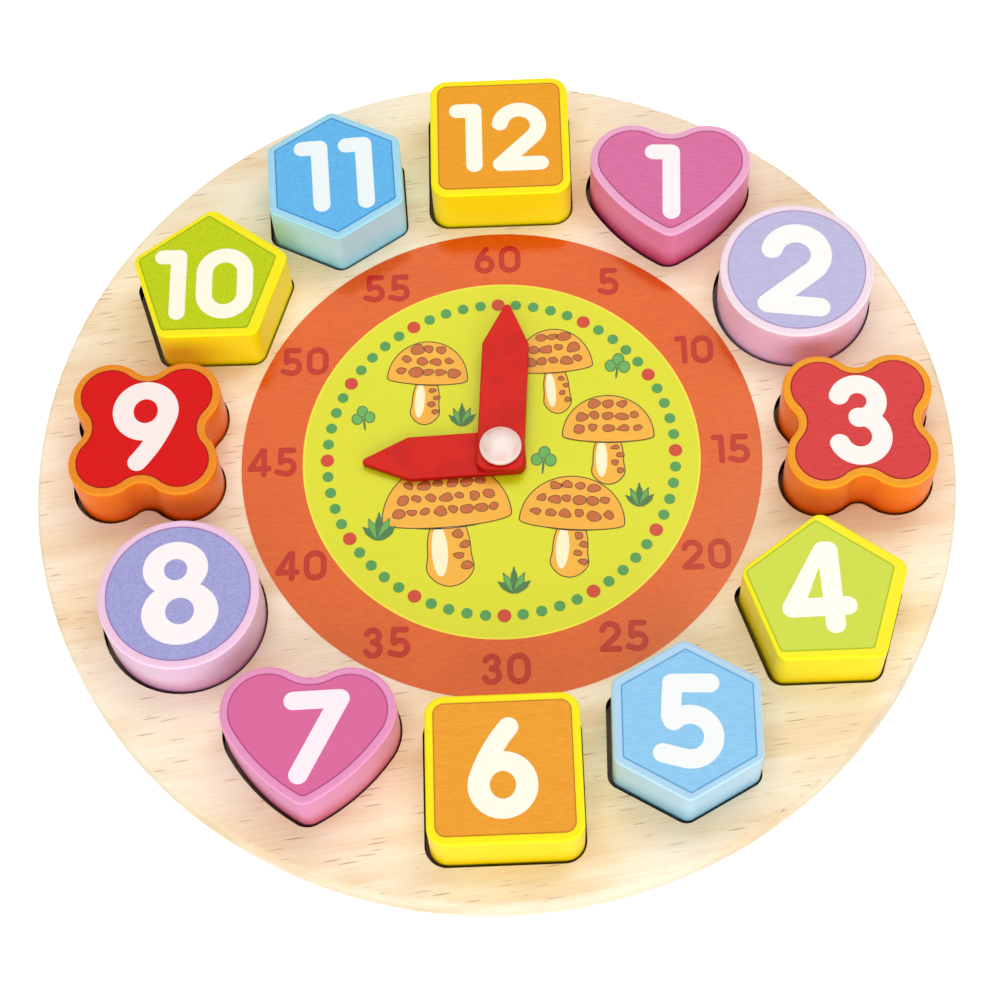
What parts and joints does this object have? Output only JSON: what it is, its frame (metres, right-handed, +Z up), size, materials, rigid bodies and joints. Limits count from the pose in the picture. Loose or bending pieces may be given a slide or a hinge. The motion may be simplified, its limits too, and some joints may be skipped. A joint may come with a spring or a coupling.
{
  "type": "wooden teaching clock",
  "caption": "Round wooden teaching clock: two plastic hands turn on a pin over a printed dial, and shaped number blocks lift out of seats round it.",
  "frame": {"origin": "centre of the board's footprint on its underside", "axes": "+Z up out of the dial, +Y towards 12 o'clock, +X towards 3 o'clock"},
  "size_m": [0.2251, 0.2252, 0.0223],
  "materials": {
    "beech": "sanded, thin matt lacquer",
    "milky_plastic": "translucent white moulded",
    "red_plastic": "moulded",
    "orange_ink": "screen print under clear lacquer",
    "lime_ink": "screen print under clear lacquer",
    "green_ink": "screen print under clear lacquer",
    "red_ink": "screen print under clear lacquer",
    "crimson_ink": "screen print under clear lacquer",
    "yellow_paint": "satin paint",
    "pink_paint": "satin paint",
    "pale_pink_paint": "satin paint",
    "orange_paint": "satin paint",
    "pale_blue_paint": "satin paint",
    "magenta_ink": "screen print",
    "lavender_ink": "screen print",
    "red_face_ink": "screen print",
    "lime_face_ink": "screen print",
    "sky_blue_ink": "screen print",
    "tan_ink": "screen print",
    "white_ink": "screen print"
  },
  "bodies": {
    "board": {"backing_board": "beech", "face_board": "beech", "pivot_pin": "milky_plastic", "pivot_socket": "milky_plastic", "dial_ring_print": "orange_ink", "dial_field_print": "lime_ink", "minute_dots": "green_ink", "five_minute_dots": "red_ink", "minute_numerals": "crimson_ink"},
    "hour_hand": {"hour_hand": "red_plastic"},
    "minute_hand": {"minute_hand": "red_plastic"},
    "block_1": {"block_1": "pink_paint", "block_1_face": "magenta_ink", "block_1_numeral": "white_ink"},
    "block_2": {"block_2": "pale_pink_paint", "block_2_face": "lavender_ink", "block_2_numeral": "white_ink"},
    "block_3": {"block_3": "orange_paint", "block_3_face": "red_face_ink", "block_3_numeral": "white_ink"},
    "block_4": {"block_4": "yellow_paint", "block_4_face": "lime_face_ink", "block_4_numeral": "white_ink"},
    "block_5": {"block_5": "pale_blue_paint", "block_5_face": "sky_blue_ink", "block_5_numeral": "white_ink"},
    "block_6": {"block_6": "yellow_paint", "block_6_face": "tan_ink", "block_6_numeral": "white_ink"},
    "block_7": {"block_7": "pink_paint", "block_7_face": "magenta_ink", "block_7_numeral": "white_ink"},
    "block_8": {"block_8": "pale_pink_paint", "block_8_face": "lavender_ink", "block_8_numeral": "white_ink"},
    "block_9": {"block_9": "orange_paint", "block_9_face": "red_face_ink", "block_9_numeral": "white_ink"},
    "block_10": {"block_10": "yellow_paint", "block_10_face": "lime_face_ink", "block_10_numeral": "white_ink"},
    "block_11": {"block_11": "pale_blue_paint", "block_11_face": "sky_blue_ink", "block_11_numeral": "white_ink"},
    "block_12": {"block_12": "yellow_paint", "block_12_face": "tan_ink", "block_12_numeral": "white_ink"}
  },
  "joints": [
    {"name": "hour_hand_turn", "type": "hinge", "parent": "board", "child": "hour_hand", "pos_m": [0.0017, 0.0014, 0.0095], "axis": [0, 0, 1], "continuous": true},
    {"name": "minute_hand_turn", "type": "hinge", "parent": "board", "child": "minute_hand", "pos_m": [0.0017, 0.0014, 0.0116], "axis": [0, 0, 1], "continuous": true},
    {"name": "block_1_lift", "type": "slide", "parent": "board", "child": "block_1", "axis": [0, 0, 1], "range_m": [0, 0.012]},
    {"name": "block_2_lift", "type": "slide", "parent": "board", "child": "block_2", "axis": [0, 0, 1], "range_m": [0, 0.012]},
    {"name": "block_3_lift", "type": "slide", "parent": "board", "child": "block_3", "axis": [0, 0, 1], "range_m": [0, 0.012]},
    {"name": "block_4_lift", "type": "slide", "parent": "board", "child": "block_4", "axis": [0, 0, 1], "range_m": [0, 0.012]},
    {"name": "block_5_lift", "type": "slide", "parent": "board", "child": "block_5", "axis": [0, 0, 1], "range_m": [0, 0.012]},
    {"name": "block_6_lift", "type": "slide", "parent": "board", "child": "block_6", "axis": [0, 0, 1], "range_m": [0, 0.012]},
    {"name": "block_7_lift", "type": "slide", "parent": "board", "child": "block_7", "axis": [0, 0, 1], "range_m": [0, 0.012]},
    {"name": "block_8_lift", "type": "slide", "parent": "board", "child": "block_8", "axis": [0, 0, 1], "range_m": [0, 0.012]},
    {"name": "block_9_lift", "type": "slide", "parent": "board", "child": "block_9", "axis": [0, 0, 1], "range_m": [0, 0.012]},
    {"name": "block_10_lift", "type": "slide", "parent": "board", "child": "block_10", "axis": [0, 0, 1], "range_m": [0, 0.012]},
    {"name": "block_11_lift", "type": "slide", "parent": "board", "child": "block_11", "axis": [0, 0, 1], "range_m": [0, 0.012]},
    {"name": "block_12_lift", "type": "slide", "parent": "board", "child": "block_12", "axis": [0, 0, 1], "range_m": [0, 0.012]}
  ]
}
